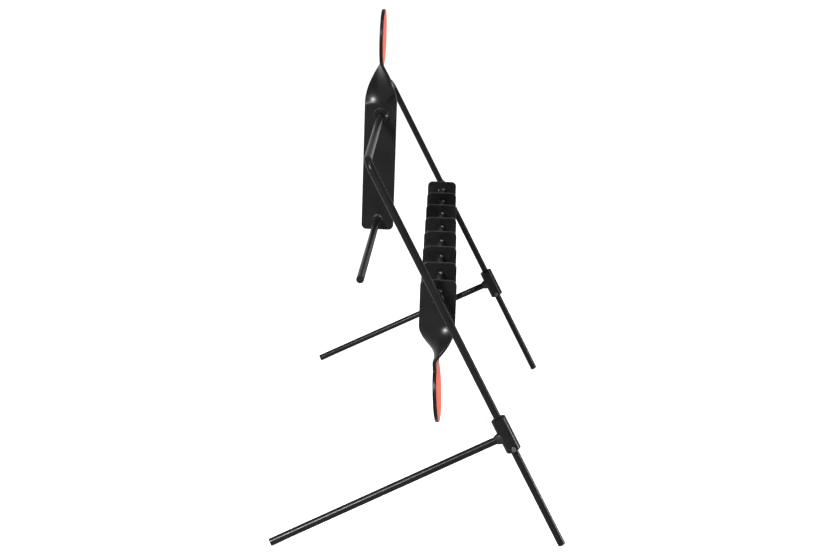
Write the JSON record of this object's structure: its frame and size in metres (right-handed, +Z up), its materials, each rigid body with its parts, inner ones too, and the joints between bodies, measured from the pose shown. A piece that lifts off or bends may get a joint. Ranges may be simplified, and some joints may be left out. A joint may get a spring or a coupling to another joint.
{
  "type": "spinner target rack",
  "caption": "Steel-rod stand with a row of hanging twisted-bar disc paddles below and an upright reset paddle with a crossbar on its top rail.",
  "frame": {"origin": "on the floor, under the middle of the whole object's box", "axes": "+X to the front, the side the painted disc faces look towards; +Y to the right as seen from the front, along the top rail and the axle; +Z up"},
  "size_m": [0.3594, 0.8656, 0.6112],
  "materials": {
    "black_powder_coat": "satin black powder coat over steel",
    "weld_bead": "black powder coat over rippled weld",
    "orange_face_paint": "matte fluorescent orange paint on the discs' front faces"
  },
  "bodies": {
    "frame": {"hoop": "black_powder_coat", "lower_axle": "black_powder_coat", "stop_weld_1_left": "weld_bead", "stop_weld_1_right": "weld_bead", "stop_weld_2_left": "weld_bead", "stop_weld_2_right": "weld_bead", "stop_weld_3_left": "weld_bead", "stop_weld_3_right": "weld_bead", "stop_weld_4_left": "weld_bead", "stop_weld_4_right": "weld_bead", "stop_weld_5_left": "weld_bead", "stop_weld_5_right": "weld_bead", "stop_weld_6_left": "weld_bead", "stop_weld_6_right": "weld_bead", "stop_weld_7_left": "weld_bead", "stop_weld_7_right": "weld_bead", "stop_weld_8_left": "weld_bead", "stop_weld_8_right": "weld_bead", "axle_weld_left": "weld_bead", "axle_weld_right": "weld_bead"},
    "reset_paddle": {"reset_blade": "black_powder_coat", "reset_bushing": "black_powder_coat", "reset_crossbar": "black_powder_coat", "bushing_weld_left": "weld_bead", "bushing_weld_right": "weld_bead", "crossbar_weld_left": "weld_bead", "crossbar_weld_right": "weld_bead"},
    "hanging_paddle_1": {"paddle_1": "black_powder_coat"},
    "hanging_paddle_2": {"paddle_2": "black_powder_coat"},
    "hanging_paddle_3": {"paddle_3": "black_powder_coat"},
    "hanging_paddle_4": {"paddle_4": "black_powder_coat"},
    "hanging_paddle_5": {"paddle_5": "black_powder_coat"},
    "hanging_paddle_6": {"paddle_6": "black_powder_coat"},
    "hanging_paddle_7": {"paddle_7": "black_powder_coat"},
    "hanging_paddle_8": {"paddle_8": "black_powder_coat"},
    "left_foot": {"left_sleeve": "black_powder_coat", "left_lower_leg": "black_powder_coat", "left_strut": "black_powder_coat", "left_leg_weld": "weld_bead", "left_strut_weld": "weld_bead"},
    "right_foot": {"right_sleeve": "black_powder_coat", "right_lower_leg": "black_powder_coat", "right_strut": "black_powder_coat", "right_leg_weld": "weld_bead", "right_strut_weld": "weld_bead"}
  },
  "joints": [
    {"name": "reset_spin", "type": "hinge", "parent": "frame", "child": "reset_paddle", "pos_m": [-0.07523, 0.01521, 0.466], "axis": [0, 1, 0], "continuous": true},
    {"name": "paddle_1_swing", "type": "hinge", "parent": "frame", "child": "hanging_paddle_1", "pos_m": [0.01322, -0.34039, 0.3024], "axis": [0, 1, 0], "range_deg": [-250, 94]},
    {"name": "paddle_2_swing", "type": "hinge", "parent": "frame", "child": "hanging_paddle_2", "pos_m": [0.01322, -0.23879, 0.3024], "axis": [0, 1, 0], "range_deg": [-250, 94]},
    {"name": "paddle_3_swing", "type": "hinge", "parent": "frame", "child": "hanging_paddle_3", "pos_m": [0.01322, -0.13719, 0.3024], "axis": [0, 1, 0], "range_deg": [-250, 94]},
    {"name": "paddle_4_swing", "type": "hinge", "parent": "frame", "child": "hanging_paddle_4", "pos_m": [0.01322, -0.03559, 0.3024], "axis": [0, 1, 0], "range_deg": [-250, 94]},
    {"name": "paddle_5_swing", "type": "hinge", "parent": "frame", "child": "hanging_paddle_5", "pos_m": [0.01322, 0.06601, 0.3024], "axis": [0, 1, 0], "range_deg": [-250, 94]},
    {"name": "paddle_6_swing", "type": "hinge", "parent": "frame", "child": "hanging_paddle_6", "pos_m": [0.01322, 0.16761, 0.3024], "axis": [0, 1, 0], "range_deg": [-250, 94]},
    {"name": "paddle_7_swing", "type": "hinge", "parent": "frame", "child": "hanging_paddle_7", "pos_m": [0.01322, 0.26921, 0.3024], "axis": [0, 1, 0], "range_deg": [-250, 94]},
    {"name": "paddle_8_swing", "type": "hinge", "parent": "frame", "child": "hanging_paddle_8", "pos_m": [0.01322, 0.37081, 0.3024], "axis": [0, 1, 0], "range_deg": [-250, 94]},
    {"name": "left_foot_swivel", "type": "hinge", "parent": "frame", "child": "left_foot", "pos_m": [0.10113, -0.39119, 0.13983], "axis": [-0.4756, 0, 0.8796], "range_deg": [-90, 90]},
    {"name": "right_foot_swivel", "type": "hinge", "parent": "frame", "child": "right_foot", "pos_m": [0.09932, 0.42161, 0.14317], "axis": [-0.4756, 0, 0.8796], "range_deg": [-90, 90]}
  ]
}
